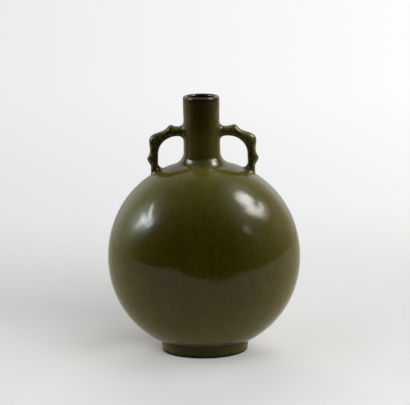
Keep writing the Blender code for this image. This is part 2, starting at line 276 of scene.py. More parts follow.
def inner_profile(turn_x, turn_y):
    """(radius, height) from inside the lip's crest down the bore and the cavity to its floor."""
    lip_r, lip_z = lip_arc(np.linspace(np.pi / 2, np.pi, LIP_STEPS + 1)[1:])
    wide, deep = BODY_HALF_WIDTH - BODY_WALL, BODY_HALF_DEPTH - BODY_WALL
    rise, drop = BODY_RISE - BODY_WALL, BODY_DROP - BODY_WALL
    reach = 1 / math.hypot(turn_x / wide, turn_y / deep)
    body_r, body_z = side_arc(reach, rise, drop, BORE_RADIUS, CAVITY_FLOOR_Z, CAVITY_STEPS)
    bore_z = np.linspace(LIP_Z - LIP_ROUND, body_z[0], BORE_STEPS + 1)[1:]
    floor_r = body_r[-1] * np.linspace(1.0, 0.0, CAVITY_FLOOR_STEPS + 1)[1:-1]
    r = np.concatenate([lip_r, np.full_like(bore_z, BORE_RADIUS), body_r[1:], floor_r])
    return r, np.concatenate([lip_z, bore_z, body_z[1:], np.full_like(floor_r, CAVITY_FLOOR_Z)])


def flask_skin(steps=160):
    """Body and neck in one skin, outside and inside, with one profile for each step round."""
    columns = []
    for step in range(steps):
        turn = 2 * math.pi * step / steps
        stretch = math.hypot(math.cos(turn) * BODY_HALF_WIDTH, math.sin(turn) * BODY_HALF_DEPTH)
        turn_x = math.cos(turn) * BODY_HALF_WIDTH / stretch
        turn_y = math.sin(turn) * BODY_HALF_DEPTH / stretch
        r_out, z_out = outer_profile(turn_x, turn_y)
        r_in, z_in = inner_profile(turn_x, turn_y)
        r = np.concatenate([r_out[::-1], r_in])
        z = np.concatenate([z_out[::-1], z_in])
        columns.append(np.stack([r * turn_x, r * turn_y, z], axis=-1))
    rings = neck_shift(np.stack(columns, axis=1))
    return mesh_from_rings("flask_skin", rings, (0.0, 0.0, BASE_LIFT), (0.0, 0.0, CAVITY_FLOOR_Z))


# The handles
NECK_FACE_X = float(neck_radius(LEVEL_Z))


def rounded(angle):
    """A point on the rounded square of side 2 that the strap's section is scaled from."""
    power = 2 / STRAP_SQUARENESS
    c, s = np.cos(angle), np.sin(angle)
    return np.sign(c) * np.abs(c) ** power, np.sign(s) * np.abs(s) ** power


def strap_length():
    """Length of the strap's centre line from the neck's face to the shoulder."""
    turn = np.linspace(0.0, np.pi / 2, LINE_POINTS)
    wide = HANDLE_REACH - NECK_FACE_X - LEVEL_RUN
    bend = np.hypot(np.diff(wide * np.sin(turn)), np.diff(CORNER_DROP * np.cos(turn))).sum()
    return LEVEL_RUN + bend + LEVEL_Z - CORNER_DROP - float(body_top(HANDLE_REACH, 0.0))


def strap_frame(s):
    """x and z on the strap's centre line, and x and z of its outward direction, s from the neck's face."""
    corner_x = NECK_FACE_X + LEVEL_RUN
    wide = HANDLE_REACH - corner_x
    turn = np.linspace(0.0, np.pi / 2, LINE_POINTS)
    x = np.concatenate([[NECK_FACE_X - LINE_LEAD], corner_x + wide * np.sin(turn), [HANDLE_REACH]])
    z = np.concatenate([[LEVEL_Z], LEVEL_Z - CORNER_DROP * (1 - np.cos(turn)), [LINE_END_Z]])
    run = np.concatenate([[0.0], np.cumsum(np.hypot(np.diff(x), np.diff(z)))]) - LINE_LEAD
    ahead, behind = s + TANGENT_STEP, s - TANGENT_STEP
    tx = np.interp(ahead, run, x) - np.interp(behind, run, x)
    tz = np.interp(ahead, run, z) - np.interp(behind, run, z)
    size = np.hypot(tx, tz)
    return np.interp(s, run, x), np.interp(s, run, z), -tz / size, tx / size


def strap_offsets(s, angle, length):
    """Offsets of the strap's surface from its centre line, outwards and across, with the knuckles outside."""
    share = np.clip(s / length, 0.0, 1.0)
    knuckle = np.zeros_like(s)
    for at, height, half_width in zip(KNUCKLE_AT, KNUCKLE_HEIGHTS, KNUCKLE_HALF_WIDTHS):
        knuckle = knuckle + height * np.exp(-(((s - at) / half_width) ** 2))
    thick = STRAP_THICK[0] + (STRAP_THICK[1] - STRAP_THICK[0]) * share
    wide = STRAP_WIDE[0] + (STRAP_WIDE[1] - STRAP_WIDE[0]) * share
    out, across = rounded(angle)
    out = out * (thick / 2 + np.where(out > 0, knuckle, 0.0))
    return out, across * (wide / 2 + knuckle * KNUCKLE_SIDE_SWELL)


def shoulder_normal(x, y, step=1e-4):
    slope_x = (body_top(x + step, y) - body_top(x - step, y)) / (2 * step)
    slope_y = (body_top(x, y + step) - body_top(x, y - step)) / (2 * step)
    normal = np.stack([-slope_x, -slope_y, np.ones_like(slope_x)], axis=-1)
    return normal / np.linalg.norm(normal, axis=-1, keepdims=True)


def root(corner, along, outward, normal, radius):
    """The fillet of a strap's root: where it leaves the strap, where it lands, and the angle between."""
    outward = outward / np.linalg.norm(outward, axis=-1, keepdims=True)
    landing = outward - np.sum(outward * normal, axis=-1, keepdims=True) * normal
    landing /= np.linalg.norm(landing, axis=-1, keepdims=True)
    angle = np.arccos(np.sum(landing * along, axis=-1))
    reach = (radius / np.tan(angle / 2))[:, None]
    return corner + np.array(along) * reach, corner + landing * reach, angle


def conic_arc(start, corner, end, lean, count=10):
    """Points of the circular arc that touches corner-start at start and corner-end at end."""
    t = np.linspace(0.0, 1.0, count)[:, None, None]
    weight = np.sin(lean / 2)[None, :, None]
    upper = (1 - t) ** 2 * start + 2 * t * (1 - t) * weight * corner + t**2 * end
    return upper / ((1 - t) ** 2 + 2 * t * (1 - t) * weight + t**2)


def neck_root(angle, length):
    """Rings from inside the neck out to the strap, and how far from the neck's face the last one is."""
    out, across = strap_offsets(np.full_like(angle, NECK_FILLET_AT), angle, length)
    z = LEVEL_Z + out
    r = neck_radius(z)
    level = np.zeros_like(out)
    corner = np.stack([np.sqrt(r**2 - across**2), across, z], axis=-1)
    normal = np.stack([corner[:, 0] / r, across / r, level], axis=-1)
    outward = np.stack([level, across, out], axis=-1)
    start, landing, lean = root(corner, (1.0, 0.0, 0.0), outward, normal, NECK_FILLET)
    r = neck_radius(landing[:, 2]) / np.hypot(landing[:, 0], landing[:, 1])
    landing[:, :2] *= r[:, None]
    sunk = landing * [NECK_SINK, NECK_SINK, 1.0]
    return [sunk[None], conic_arc(landing, corner, start, lean)], start[:, 0] - NECK_FACE_X


def shoulder_root(angle, length):
    """Rings from the strap down into the shoulder, and how far along the strap the first one is."""
    out, across = strap_offsets(np.full_like(angle, length - SHOULDER_FILLET_AT), angle, length)
    x = HANDLE_REACH + out
    corner = np.stack([x, across, body_top(x, across)], axis=-1)
    outward = np.stack([out, across, np.zeros_like(out)], axis=-1)
    normal = shoulder_normal(x, across)
    start, landing, lean = root(corner, (0.0, 0.0, 1.0), outward, normal, SHOULDER_FILLET)
    landing[:, 2] = body_top(landing[:, 0], landing[:, 1])
    sunk = landing - shoulder_normal(landing[:, 0], landing[:, 1]) * SHOULDER_SINK
    last = length - (start[:, 2] - body_top(HANDLE_REACH, 0.0))
    return [conic_arc(landing, corner, start, lean)[::-1], sunk[None]], last


def handle_rings(sides=48, sections=150):
    """Rings of the right handle, from inside the neck to inside the shoulder."""
    angle = np.linspace(0.0, 2 * np.pi, sides, endpoint=False)
    length = strap_length()
    upper, first = neck_root(angle, length)
    lower, last = shoulder_root(angle, length)
    strap = []
    for share in np.linspace(0.0, 1.0, sections)[1:-1]:
        s = first + (last - first) * share
        cx, cz, nx, nz = strap_frame(s)
        s = np.clip(s, NECK_FILLET_AT, length - SHOULDER_FILLET_AT)
        out, across = strap_offsets(s, angle, length)
        strap.append(np.stack([cx + nx * out, across, cz + nz * out], axis=-1)[None])
    return np.concatenate(upper + strap + lower)


def handle(name, side):
    """A handle on the left for side -1, or on the right for side 1."""
    rings = handle_rings()
    rings[..., 0] *= side
    rings = neck_shift(rings)
    return mesh_from_rings(name, rings, rings[0].mean(axis=0), rings[-1].mean(axis=0))


# The foot ring
def foot_wall_top(r, c, s):
    """(radius, height) of the top of a foot wall at radius r, in the direction (c, s)."""
    drop = BODY_DROP * float(body_curve(r * c, r * s * FOOT_RATIO))
    return np.array([r, BODY_CENTRE_Z - drop + FOOT_TUCK])


def foot_rings(steps=144):
    """Rings down the foot's outer wall, round its edge and up its inner wall."""
    outer = FOOT_HALF_WIDTH - FOOT_TAPER
    inner = FOOT_HALF_WIDTH - FOOT_WALL
    angle = np.linspace(0.0, -np.pi / 2, FOOT_EDGE_STEPS + 1)
    edge = FOOT_EDGE_ROUND
    edge_out = np.stack([outer - edge + edge * np.cos(angle), edge + edge * np.sin(angle)], axis=-1)
    edge_in = edge_out[::-1] * [-1, 1] + [outer + inner, 0.0]
    down = np.linspace(0.0, 1.0, FOOT_OUTER_STEPS + 1)[:-1, None]
    up = np.linspace(0.0, 1.0, FOOT_INNER_STEPS + 1)[1:, None]
    columns = []
    for step in range(steps):
        turn = 2 * math.pi * step / steps
        c, s = math.cos(turn), math.sin(turn)
        high = foot_wall_top(FOOT_HALF_WIDTH, c, s)
        low = foot_wall_top(inner, c, s)
        out_wall = high + (edge_out[0] - high) * down
        for at, depth, half_width in THROWING_LINES:
            out_wall[:, 0] -= depth * np.exp(-(((out_wall[:, 1] - at) / half_width) ** 2))
        in_wall = edge_in[-1] + (low - edge_in[-1]) * up
        r, z = np.concatenate([out_wall, edge_out, edge_in, in_wall]).T
        columns.append(np.stack([r * c, r * s * FOOT_RATIO, z], axis=-1))
    return np.stack(columns, axis=1)


def weld(obj):
    """Joins the points of a mesh that lie in the same place."""
    shape = bmesh.new()
    shape.from_mesh(obj.data)
    bmesh.ops.remove_doubles(shape, verts=shape.verts, dist=WELD_DISTANCE)
    bmesh.ops.recalc_face_normals(shape, faces=shape.faces)
    shape.to_mesh(obj.data)
    shape.free()
    return obj


def foot():
    """The foot ring. Its first ring comes again at the end, so that the weld closes the section."""
    rings = foot_rings()
    return weld(mesh_from_rings("foot_ring_glazed", np.concatenate([rings, rings[:1]])))


# Colours of the glaze and the clay, and of the painted light, reflection and shade
OLIVE = (0.076, 0.060, 0.0036)
OLIVE_GREEN = (0.056, 0.057, 0.0044)
OLIVE_BROWN = (0.060, 0.042, 0.0022)
DUST = (0.125, 0.108, 0.013)
# Painted light: a paler olive for the shoulder's top, where light falls from above
SHOULDER_PAINTED_LIGHT = (0.122, 0.100, 0.0170)
NECK_BROWN = (0.050, 0.038, 0.0075)
CREASE_BROWN = (0.072, 0.060, 0.0075)
# Painted reflection: a pale buff for the crease over the foot, standing in for the floor mirrored there
CREASE_PAINTED_REFLECTION = (0.100, 0.090, 0.066)
STRAP_OLIVE = (0.148, 0.130, 0.030)
STRAP_DARK = (0.014, 0.013, 0.0050)
RIM_BROWN = (0.034, 0.018, 0.005)
FOOT_GREEN = (0.050, 0.051, 0.0130)
FOOT_BROWN = (0.056, 0.044, 0.0120)
# Painted shade: near black for the groove where the foot meets the body
GROOVE_SHADE = (0.022, 0.016, 0.0040)
# Bare clay of the foot's rim, darkened further as painted contact shadow
DARK_CLAY_AND_SHADOW = (0.010, 0.008, 0.006)

# Shares of pale patches and of dark mottle on each strap: the right strap gets more pale olive and less
# mottle as painted light, and the left less pale olive and more mottle as painted shade
STRAP_TONES_SHADED_LEFT = (0.75, 0.9)
STRAP_TONES_LIT_RIGHT = (0.9, 0.6)

# Gloss of the glaze, and of the foot
GLAZE_IOR = 1.5
GLAZE_SPECULAR = 0.30
GLAZE_ROUGHNESS = (0.050, 0.095)
FOOT_SPECULAR = 0.12
FOOT_ROUGHNESS = (0.30, 0.85)

# Heights between which the body's tones and its painted light and reflection come and go
NECK_BROWN_Z = (0.250, 0.285)
NECK_CREASE_Z = (0.196, 0.212)
NECK_CREASE_TOP_Z = (0.217, 0.228)
SHOULDER_LIGHT_Z = (0.202, 0.220)
SHOULDER_LIGHT_TOP_Z = (0.236, 0.268)
FOOT_CREASE_REFLECTION_Z = (0.0145, 0.0225)
RIM_Z = (0.2930, 0.2975)
# Distances from the middle between which the neck's crease comes and the painted light on the shoulder
# weakens
NECK_CREASE_ASIDE = (0.014, 0.034)
SHOULDER_LIGHT_ASIDE = (0.012, 0.036)

# The foot's top edge lies at this height on the sides, and rises by this much times y squared to the front
FOOT_TOP_Z = 0.0117
FOOT_TOP_RISE = 1.63
# Heights on the foot between which the green turns brown, the painted shade of the groove under the body
# comes in, and the bare clay with its painted contact shadow ends
FOOT_BROWN_Z = (0.0040, 0.0060)
GROOVE_SHADE_Z = (FOOT_TOP_Z - 0.0028, FOOT_TOP_Z - 0.0006)
BARE_CLAY_AND_SHADOW_Z = (0.0019, 0.0034)

# How far noise moves the edges of the body's tones and painted light, the rim, the foot's bands and the bare
# clay with its painted shadow
TONE_WAVER = 0.004
RIM_WAVER = 0.0012
BAND_WAVER = 0.0016
CLAY_WAVER = 0.0007

# Most that each tone, each painted light, reflection and shade, and each layer of the glaze covers
NECK_BROWN_SHARE = 0.85
SHOULDER_LIGHT_SHARE = 0.80
SHOULDER_LIGHT_SHARE_ASIDE = 0.25
FOOT_CREASE_REFLECTION_SHARE = 0.85
RIM_SHARE = 0.95
BLOTCH_SHARE = 0.75
RUN_SHARE = 0.35
SPECK_SHARES = (0.15, 0.75)
SPECKLE_SHARE = 0.30
FOOT_SPECK_SHARE = 0.4
GROOVE_SHADE_SHARE = 0.9

# Layers of noise: features per metre, octaves, roughness, and the two noise values between which the layer
# goes from its first value to its last
CLOUDS = (17.0, 3.0, 0.55, 0.35, 0.65)
BLOTCHES = (75.0, 4.0, 0.65, 0.38, 0.66)
RUNS = (120.0, 3.0, 0.6, 0.42, 0.70)
SPECKS = (1100.0, 2.0, 0.5, 0.52, 0.70)
SPECK_DRIFT = (60.0, 4.0, 0.65, 0.30, 0.75)
SPECKLE = (340.0, 3.0, 0.6, 0.40, 0.72)
TONE_EDGE = (48.0, 3.0, 0.6, 0.30, 0.70)
RIM_EDGE = (130.0, 3.0, 0.6, 0.30, 0.70)
DULLNESS = (90.0, 3.0, 0.6, 0.30, 0.70)
STRAP_PATCHES = (95.0, 3.0, 0.6, 0.32, 0.60)
STRAP_MOTTLE = (300.0, 3.0, 0.65, 0.40, 0.60)
FOOT_SPECKS = (1100.0, 2.0, 0.5, 0.54, 0.72)
FOOT_BANDS = (60.0, 3.0, 0.6, 0.36, 0.66)
CLAY_EDGE = (55.0, 3.0, 0.6, 0.30, 0.70)
TABLE_WAVES = (9.0, 2.0, 0.5, 0.30, 0.70)
# Stretches of a layer: drawn out downwards, and pressed into level bands
DOWNWARDS = (1.0, 1.0, 0.12)
LEVEL_BANDS = (1.0, 1.0, 9.0)

# Reliefs in the bump: features per metre, octaves, roughness, height in metres and strength
ORANGE_PEEL = (420.0, 2.0, 0.5, 0.00006, 0.25)
THROWING = (95.0, 2.0, 0.5, 0.0004, 0.22)
SWELLS = (38.0, 2.0, 0.5, 0.0008, 0.22)
CLAY_GRAIN = (600.0, 3.0, 0.6, 0.0001, 0.3)

# Colour sockets of a mix node
MIX_A, MIX_B, MIX_RESULT = 6, 7, 2


# Materials
class Graph:
    """Adds nodes to a node tree and feeds their sockets."""

    def __init__(self, tree):
        self.tree = tree

    def feed(self, value, socket):
        """Feeds a socket from another node, or with a colour, a vector or a number."""
        if isinstance(value, bpy.types.NodeSocket):
            self.tree.links.new(value, socket)
        elif isinstance(value, tuple):
            socket.default_value = (*value, 1.0)
        else:
            socket.default_value = value

    def add(self, kind, *values):
        """A new node, whose first sockets get the values in turn."""
        node = self.tree.nodes.new("ShaderNode" + kind)
        for value, socket in zip(values, node.inputs):
            self.feed(value, socket)
        return node

    def math(self, operation, *values):
        node = self.add("Math", *values)
        node.operation = operation
        return node.outputs[0]

    def ramp(self, value, between, first=0.0, last=1.0, smooth=True):
        """Goes from first to last while the value passes between the two numbers."""
        node = self.add("MapRange", value, *between, first, last)
        node.interpolation_type = "SMOOTHSTEP" if smooth else "LINEAR"
        return node.outputs["Result"]


class Maker(Graph):
    """Adds the nodes of one material."""

    def __init__(self, name):
        self.material = bpy.data.materials.new(name)
        self.material.use_nodes = True
        super().__init__(self.material.node_tree)
        self.shader = self.tree.nodes["Principled BSDF"]
        self.place = self.add("TexCoord").outputs["Object"]

    def along(self, axis):
        return self.add("SeparateXYZ", self.place).outputs[axis]

    def noise(self, scale, octaves, rough, stretch=None):
        node = self.add("TexNoise")
        for key, number in (("Scale", scale), ("Detail", octaves), ("Roughness", rough)):
            node.inputs[key].default_value = number
        place = self.place
        if stretch:
            mapping = self.add("Mapping", place)
            mapping.inputs["Scale"].default_value = stretch
            place = mapping.outputs["Vector"]
        self.feed(place, node.inputs["Vector"])
        return node.outputs["Fac"]

    def layer(self, numbers, first=0.0, last=1.0, stretch=None):
        """A layer of noise from the list above, that varies from first to last."""
        scale, octaves, rough, *between = numbers
        return self.ramp(self.noise(scale, octaves, rough, stretch), between, first, last)

    def mix(self, share, a, b):
        node = self.add("Mix", share)
        node.data_type = "RGBA"
        self.feed(a, node.inputs[MIX_A])
        self.feed(b, node.inputs[MIX_B])
        return node.outputs[MIX_RESULT]

    def relief(self, numbers, under=None):
        """A relief from the list above, over the one under it."""
        scale, octaves, rough, distance, strength = numbers
        node = self.add("Bump")
        node.inputs["Distance"].default_value = distance
        node.inputs["Strength"].default_value = strength
        self.feed(self.noise(scale, octaves, rough), node.inputs["Height"])
        if under is not None:
            self.feed(under, node.inputs["Normal"])
        return node.outputs["Normal"]

    def surface(self, colour, roughness, specular):
        """Feeds the shader and gives back the material."""
        self.feed(colour, self.shader.inputs["Base Color"])
        self.feed(roughness, self.shader.inputs["Roughness"])
        self.shader.inputs["Specular IOR Level"].default_value = specular
        return self.material

    def glazed(self, colour, roughness, specular, relief):
        """The surface of a glaze, with its relief."""
        self.shader.inputs["IOR"].default_value = GLAZE_IOR
        self.feed(relief, self.shader.inputs["Normal"])
        return self.surface(colour, roughness, specular)

    def see_through(self, share):
        """Makes the material clear by a share and gives it back."""
        mix = self.add("MixShader", share, self.shader.outputs[0], self.add("BsdfTransparent").outputs[0])
        self.feed(mix.outputs[0], self.tree.nodes["Material Output"].inputs["Surface"])
        return self.material


def body_tones(m, colour):
    """Painted light, paler round the shoulder's top; a pale painted reflection of the floor in the crease
    over the foot; browner beside the neck and to the mouth.
    """
    height = m.along("Z")
    colour = m.mix(m.ramp(height, NECK_BROWN_Z, last=NECK_BROWN_SHARE), colour, NECK_BROWN)
    uneven = m.layer(TONE_EDGE, -TONE_WAVER, TONE_WAVER)
    aside = m.math("ADD", m.math("ABSOLUTE", m.along("X")), uneven)
    level = m.math("ADD", height, uneven)
    crease = m.math("MULTIPLY", m.ramp(level, NECK_CREASE_Z), m.ramp(height, NECK_CREASE_TOP_Z, 1.0, 0.0))
    crease = m.math("MULTIPLY", crease, m.ramp(aside, NECK_CREASE_ASIDE))
    colour = m.mix(crease, colour, CREASE_BROWN)
    # Painted light on the shoulder's top, fading sideways and up the neck
    below_top = m.ramp(height, SHOULDER_LIGHT_TOP_Z, SHOULDER_LIGHT_SHARE, 0.0)
    shoulder = m.math("MULTIPLY", m.ramp(level, SHOULDER_LIGHT_Z), below_top)
    shoulder = m.math("MULTIPLY", shoulder, m.ramp(aside, SHOULDER_LIGHT_ASIDE, 1.0, SHOULDER_LIGHT_SHARE_ASIDE))
    colour = m.mix(shoulder, colour, SHOULDER_PAINTED_LIGHT)
    # Painted reflection of the floor: a pale band in the crease over the foot
    return m.mix(m.ramp(height, FOOT_CREASE_REFLECTION_Z, FOOT_CREASE_REFLECTION_SHARE, 0.0), colour, CREASE_PAINTED_REFLECTION)


def strap_tones(m, colour, olive, dark):
    """The glaze on the straps: a paler olive over their faces, mottled dark where it has run thin."""
    colour = m.mix(m.layer(STRAP_PATCHES, olive / 2, olive), colour, STRAP_OLIVE)
    return m.mix(m.layer(STRAP_MOTTLE, dark, 0.0), colour, STRAP_DARK)


def glaze(name, strap=None):
    """Tea-dust glaze: a dark olive ground with a fine yellow-green dust, glossy with a faint orange peel.

    strap is a strap's pair of shares, as above. Without it, the glaze has the tones of body and neck."""
    m = Maker(name)
    colour = m.mix(m.layer(CLOUDS), OLIVE_BROWN, OLIVE_GREEN)
    colour = m.mix(m.layer(BLOTCHES, last=BLOTCH_SHARE), colour, OLIVE)
    colour = m.mix(m.layer(RUNS, last=RUN_SHARE, stretch=DOWNWARDS), colour, OLIVE_BROWN)
    specks = m.math("MULTIPLY", m.layer(SPECKS), m.layer(SPECK_DRIFT, *SPECK_SHARES))
    colour = m.mix(specks, colour, DUST)
    colour = m.mix(m.layer(SPECKLE, last=SPECKLE_SHARE), colour, DUST)
    colour = strap_tones(m, colour, *strap) if strap else body_tones(m, colour)
    edge = m.math("ADD", m.along("Z"), m.layer(RIM_EDGE, -RIM_WAVER, RIM_WAVER))
    colour = m.mix(m.ramp(edge, RIM_Z, last=RIM_SHARE), colour, RIM_BROWN)
    relief = m.relief(SWELLS, m.relief(THROWING, m.relief(ORANGE_PEEL)))
    return m.glazed(colour, m.layer(DULLNESS, *GLAZE_ROUGHNESS), GLAZE_SPECULAR, relief)


def foot_glaze():
    """The glaze down the foot, brown over green with painted shade in the groove at the top, thinning to a
    bare dark clay rim that is darkened further by painted contact shadow.
    """
    m = Maker("glaze_and_clay_foot")
    height, depth = m.along("Z"), m.along("Y")
    rise = m.math("MULTIPLY", m.math("MULTIPLY", depth, depth), FOOT_TOP_RISE)
    below_body = m.math("SUBTRACT", height, rise)
    banded = m.math("ADD", below_body, m.layer(FOOT_BANDS, -BAND_WAVER, BAND_WAVER, LEVEL_BANDS))
    colour = m.mix(m.ramp(banded, FOOT_BROWN_Z), FOOT_GREEN, FOOT_BROWN)
    colour = m.mix(m.layer(FOOT_SPECKS, last=FOOT_SPECK_SHARE), colour, DUST)
    # Painted shade in the groove under the body
    colour = m.mix(m.ramp(below_body, GROOVE_SHADE_Z, last=GROOVE_SHADE_SHARE), colour, GROOVE_SHADE)
    line = m.math("ADD", height, m.layer(CLAY_EDGE, -CLAY_WAVER, CLAY_WAVER))
    bare = m.ramp(line, BARE_CLAY_AND_SHADOW_Z, 1.0, 0.0)
    # The bare clay rim, whose darkness is partly painted contact shadow
    colour = m.mix(bare, colour, DARK_CLAY_AND_SHADOW)
    roughness = m.ramp(bare, (0.0, 1.0), *FOOT_ROUGHNESS)
    return m.glazed(colour, roughness, FOOT_SPECULAR, m.relief(CLAY_GRAIN))


# The floor and the table
PAPER_ROUGHNESS = 0.9
FLOOR_PAPER = (0.65, 0.65, 0.642)
FLOOR_HALF_SIZE = 9
FLOOR_Z = -0.0002
# Distances behind the flask between which the floor fades for the camera
FLOOR_FADE = (0.15, 0.95)
TABLE_PAPER = (0.60, 0.565, 0.525)
TABLE_HALF_WIDTH = 1.6
# The sheet starts this far in front of the flask, and its soft edge stays within this distance
TABLE_REACH = 0.9
TABLE_FAR = 6
TABLE_Z = -0.0004
TABLE_SOFTNESS = 0.16
TABLE_WAVER = 0.03
# Places along the table's near edge, from left to right
TABLE_EDGE = (
    (-1.60, -0.40), (-1.15, -0.42), (-0.84, -0.46), (-0.67, -0.52), (-0.57, -0.60), (-0.42, -0.66),
    (-0.21, -0.57), (-0.09, -0.45), (-0.02, -0.40), (0.06, -0.38), (0.13, -0.38), (0.26, -0.42),
    (0.37, -0.42), (0.50, -0.38), (0.66, -0.33), (0.90, -0.27), (1.20, -0.10), (1.60, 0.25),
)


def faded_paper():
    """Floor paper that, for the camera alone, fades into the pale backdrop behind the flask."""
    m = Maker("pale_floor_paper")
    m.surface(FLOOR_PAPER, PAPER_ROUGHNESS, 0.0)
    seen = m.add("LightPath").outputs["Is Camera Ray"]
    return m.see_through(m.math("MULTIPLY", m.ramp(m.along("Y"), FLOOR_FADE), seen))


def soft_edged_paper():
    """Warm table paper that ends in a soft, slightly wavy line, whose place follows TABLE_EDGE."""
    m = Maker("warm_table_paper")
    m.surface(TABLE_PAPER, PAPER_ROUGHNESS, 0.0)
    across, reach = (-TABLE_HALF_WIDTH, TABLE_HALF_WIDTH), (-TABLE_REACH, TABLE_REACH)
    line = m.add("ValToRGB", m.ramp(m.along("X"), across, smooth=False))
    stops = line.color_ramp.elements
    stops.remove(stops[1])
    for x, y in TABLE_EDGE:
        stop = stops.new((x + TABLE_HALF_WIDTH) / (2 * TABLE_HALF_WIDTH))
        share = (y + TABLE_REACH) / (2 * TABLE_REACH)
        stop.color = (share, share, share, 1.0)
    stops.remove(stops[0])
    edge = m.ramp(line.outputs["Color"], (0.0, 1.0), *reach, smooth=False)
    beyond = m.math("SUBTRACT", m.along("Y"), edge)
    beyond = m.math("ADD", beyond, m.layer(TABLE_WAVES, -TABLE_WAVER, TABLE_WAVER))
    return m.see_through(m.ramp(beyond, (-TABLE_SOFTNESS / 2, TABLE_SOFTNESS / 2), 1.0, 0.0))


def sheet(name, half_width, near, far, z, material):
    """A level sheet of the stage, from near to far."""
    corners = ((-half_width, near, z), (half_width, near, z), (half_width, far, z), (-half_width, far, z))
    mesh = bpy.data.meshes.new(name)
    mesh.from_pydata(corners, [], [tuple(range(len(corners)))])
    obj = bpy.data.objects.new(name, mesh)
    bpy.context.scene.collection.objects.link(obj)
    mesh.materials.append(material)
    return obj


def gather(name, pieces):
    """A named set of objects that a lamp can be kept to."""
    group = bpy.data.collections.new(name)
    for piece in pieces:
        group.objects.link(piece)


def floor():
    """The sheet that the camera sees, and under it the table whose near edge shows in the glaze."""
    size = FLOOR_HALF_SIZE
    wide = sheet("floor_wide", size, -size, size, FLOOR_Z, faded_paper())
    wide.visible_glossy = False
    wide.visible_diffuse = False
    wide.visible_shadow = False
    table = sheet("floor_table", TABLE_HALF_WIDTH, -TABLE_REACH, TABLE_FAR, TABLE_Z, soft_edged_paper())
    table.visible_camera = False
    gather("lit_as_floor", (wide, table))


# The lamps and the world
LAMP_DISTANCE = 3.0
LAMP_AIM = Vector((0.0, 0.0, 0.13))
# name, azimuth, elevation, angular width and height (degrees), radiance, what it lights
LAMPS = (
    ("fill_left", -118, 5, 40, 40, 7.4, "flask"),
    ("fill_right", 113, 5, 40, 30, 10.4, "flask"),
    ("fill_right_high", 120, 60, 40, 40, 2.4, "flask"),
    ("fill_top", 180, 80, 45, 45, 5.3, "flask"),
    ("fill_below_right", 70, -50, 40, 40, 0.75, "flask"),
    ("fill_below_left", -60, -50, 40, 40, 0.12, "flask"),
    ("floor_front", 20, 15, 40, 20, 14.9, "floor"),
    ("floor_front_right", 50, 24, 26, 26, 6.9, "floor"),
    ("floor_right", 90, 60, 40, 40, 2.1, "floor"),
    ("floor_behind", 180, 30, 40, 40, 3.5, "floor"),
    ("floor_left_behind", -120, 30, 40, 40, 0.83, "floor"),
    ("floor_left", -60, 45, 40, 40, 1.24, "floor"),
)
WARM = (1.04, 1.03, 1.0)
COOL = (0.90, 0.95, 1.0)
GREENISH = (0.92, 1.06, 1.0)
WHITE = (1.0, 1.0, 1.0)
# name, azimuth, elevation, spread along and across, spin (degrees), radiance, crispness, colour
GLOWS = (
    ("softbox_right_top", 79.6, 50.0, 7.8, 8.4, 90, 18.5, 2.0, WARM),
    ("softbox_right_low", 75.4, 36.9, 9.5, 4.9, -23, 14.2, 2.0, WARM),
    ("softbox_right_lobe", 92.6, 35.5, 4.6, 3.2, 14, 7.6, 2.0, WARM),
    ("softbox_right_end", 91.0, 32.2, 10.8, 6.0, 16, 2.9, 2.0, WARM),
    ("softbox_right_halo", 79.1, 50.1, 10.5, 14.4, -53, 3.8, 1.0, WARM),
    ("lamp_front_right", 49.8, 23.2, 4.4, 3.3, -55, 1.9, 2.0, GREENISH),
    ("wall_front_right", 56.9, 32.7, 10.7, 25.2, 35, 0.34, 1.0, WHITE),
    ("wall_right", 103.4, 19.6, 14.3, 9.9, 36, 0.56, 1.0, WHITE),
    ("wall_behind_right", 152.1, 19.0, 22.6, 18.7, 60, 1.18, 1.0, WHITE),
    ("softbox_left_blob", -81.7, 26.0, 9.7, 3.5, 45, 6.0, 2.0, COOL),
    ("softbox_left_streak", -80.2, 36.8, 6.7, 2.1, -45, 13.5, 2.0, COOL),
    ("softbox_left_arm", -84.8, 28.3, 5.2, 2.7, -22, 6.8, 2.0, COOL),
    ("softbox_left_foot", -70.9, 27.0, 5.4, 4.2, 17, 7.6, 2.0, COOL),
    ("softbox_left_glow", -77.6, 26.2, 8.9, 5.4, 25, 6.6, 1.0, COOL),
    ("softbox_left_halo", -87.9, 28.9, 9.2, 12.1, -42, 3.8, 1.0, GREENISH),
    ("wall_left", -96.0, 4.0, 12.0, 12.0, 0, 0.28, 1.0, WHITE),
    ("wall_behind_left", -130.9, 18.8, 19.4, 22.5, -54, 1.32, 1.0, WHITE),
    ("ceiling", -160.0, 59.2, 26.7, 16.4, 22, 0.50, 1.0, WHITE),
)
# Brightness of the backdrop that the camera sees, on the left and on the right, and x of these directions
BACKDROP = (0.84, 0.98)
BACKDROP_SIDES = (-0.1, 0.1)
# What is left of it low down, where the floor fades into it, and z of the directions that it changes between
BACKDROP_FOOT = 0.93
BACKDROP_HEIGHTS = (-0.19, -0.14)


def toward(azimuth, elevation):
    """Unit vector. Azimuth 0 is on the camera's side and 90 is on the right."""
    a, e = math.radians(azimuth), math.radians(elevation)
    return Vector((math.sin(a) * math.cos(e), -math.cos(a) * math.cos(e), math.sin(e)))


def lamp(name, azimuth, elevation, width, height, radiance, lights):
    """A soft area lamp that lights the flask or the floor, and that neither the camera nor the glaze sees."""
    away = toward(azimuth, elevation)
    light = bpy.data.lights.new(name, "AREA")
    light.shape = "RECTANGLE"
    light.size = 2 * LAMP_DISTANCE * math.tan(math.radians(width / 2))
    light.size_y = 2 * LAMP_DISTANCE * math.tan(math.radians(height / 2))
    light.energy = radiance * math.pi * light.size * light.size_y
    obj = bpy.data.objects.new(name, light)
    turn = away.to_track_quat("Z", "Y").to_matrix().to_4x4()
    obj.matrix_world = Matrix.Translation(LAMP_AIM + away * LAMP_DISTANCE) @ turn
    obj.visible_camera = False
    obj.visible_glossy = False
    bpy.context.scene.collection.objects.link(obj)
    obj.light_linking.receiver_collection = bpy.data.collections["lit_as_" + lights]
    obj.light_linking.blocker_collection = bpy.data.collections["lit_as_flask"]


